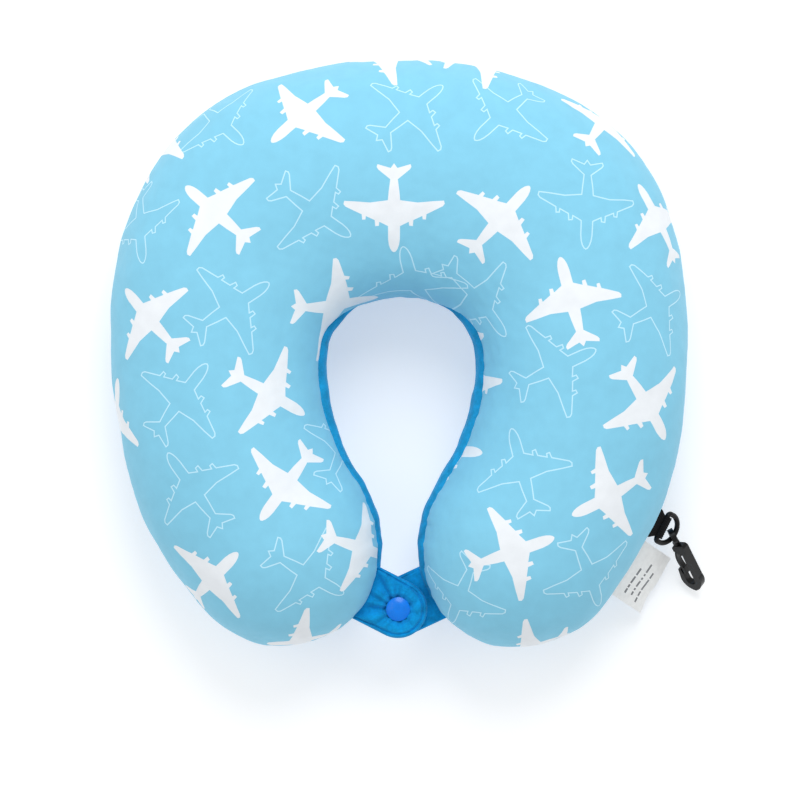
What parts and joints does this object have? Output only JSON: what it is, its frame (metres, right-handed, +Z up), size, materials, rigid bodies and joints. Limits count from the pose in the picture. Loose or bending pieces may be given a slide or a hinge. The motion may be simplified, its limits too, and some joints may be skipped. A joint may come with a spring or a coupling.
{
  "type": "u shaped neck pillow",
  "caption": "Bead-filled U-shaped neck pillow with a printed front, plush back, snap tabs across its open end and a webbing loop with a D-ring and swivel hook.",
  "frame": {"origin": "on the flat stretch of the underside, on the U's line of symmetry, level with the middle of the U's length", "axes": "+Z up out of the underside through the printed front, +Y towards the closed end of the U, +X to the side that carries the hook"},
  "size_m": [0.3121, 0.3043, 0.1004],
  "materials": {
    "printed_jersey": "matte knitted polyester and spandex, printed with white and outlined aeroplanes",
    "blue_plush": "short velour pile",
    "beads": "loose foam beads",
    "blue_snap": "gloss",
    "black_webbing": "ribbed woven webbing",
    "black_plastic": "satin moulded",
    "label_satin": "woven satin"
  },
  "bodies": {
    "pillow": {"front_panel": "printed_jersey", "back_panel": "blue_plush", "bead_filling": "beads"},
    "button_tab": {"button_tab_face": "blue_plush", "button_tab_lining": "blue_plush", "snap_cap": "blue_snap", "snap_socket": "blue_snap"},
    "stud_tab": {"stud_tab_face": "blue_plush", "stud_tab_lining": "blue_plush", "snap_stud": "blue_snap", "snap_stud_cap": "blue_snap"},
    "strap": {"strap_webbing": "black_webbing"},
    "d_ring": {"d_ring": "black_plastic"},
    "swivel_eye": {"swivel_eye": "black_plastic"},
    "hook": {"hook_body": "black_plastic"},
    "gate": {"hook_gate": "black_plastic"},
    "care_label": {"care_label": "label_satin"}
  },
  "joints": [
    {"name": "button_tab_hinge", "type": "hinge", "parent": "pillow", "child": "button_tab", "pos_m": [-0.01312, -0.12783, 0.0539], "axis": [-0.454, -0.891, 0], "range_deg": [0, 80]},
    {"name": "stud_tab_hinge", "type": "hinge", "parent": "pillow", "child": "stud_tab", "pos_m": [0.01386, -0.12707, 0.0477], "axis": [0.4226, -0.9063, 0], "range_deg": [0, 70]},
    {"name": "strap_flex", "type": "hinge", "parent": "pillow", "child": "strap", "pos_m": [0.1326, -0.0897, 0.0352], "axis": [-0.4478, -0.8942, 0], "range_deg": [-8, 25], "stiffness_Nm_per_rad": 0.004},
    {"name": "d_ring_hinge", "type": "hinge", "parent": "strap", "child": "d_ring", "pos_m": [0.13752, -0.09216, 0.0312], "axis": [-0.4478, -0.8942, 0], "range_deg": [-6, 60]},
    {"name": "eye_hinge", "type": "hinge", "parent": "d_ring", "child": "swivel_eye", "pos_m": [0.14367, -0.09741, 0.02414], "axis": [-0.8829, -0.4695, 0], "range_deg": [-25, 50]},
    {"name": "hook_swivel", "type": "hinge", "parent": "swivel_eye", "child": "hook", "pos_m": [0.14593, -0.10165, 0.02147], "axis": [0.4106, -0.7722, -0.4848], "continuous": true},
    {"name": "gate_flex", "type": "hinge", "parent": "hook", "child": "gate", "pos_m": [0.14636, -0.10493, 0.01818], "axis": [-0.5301, -0.6348, 0.5622], "range_deg": [0, 11], "stiffness_Nm_per_rad": 0.02},
    {"name": "label_flex", "type": "hinge", "parent": "pillow", "child": "care_label", "pos_m": [0.1192, -0.1132, 0.0315], "axis": [-0.5592, -0.829, 0], "range_deg": [-25, 10], "stiffness_Nm_per_rad": 0.002}
  ]
}
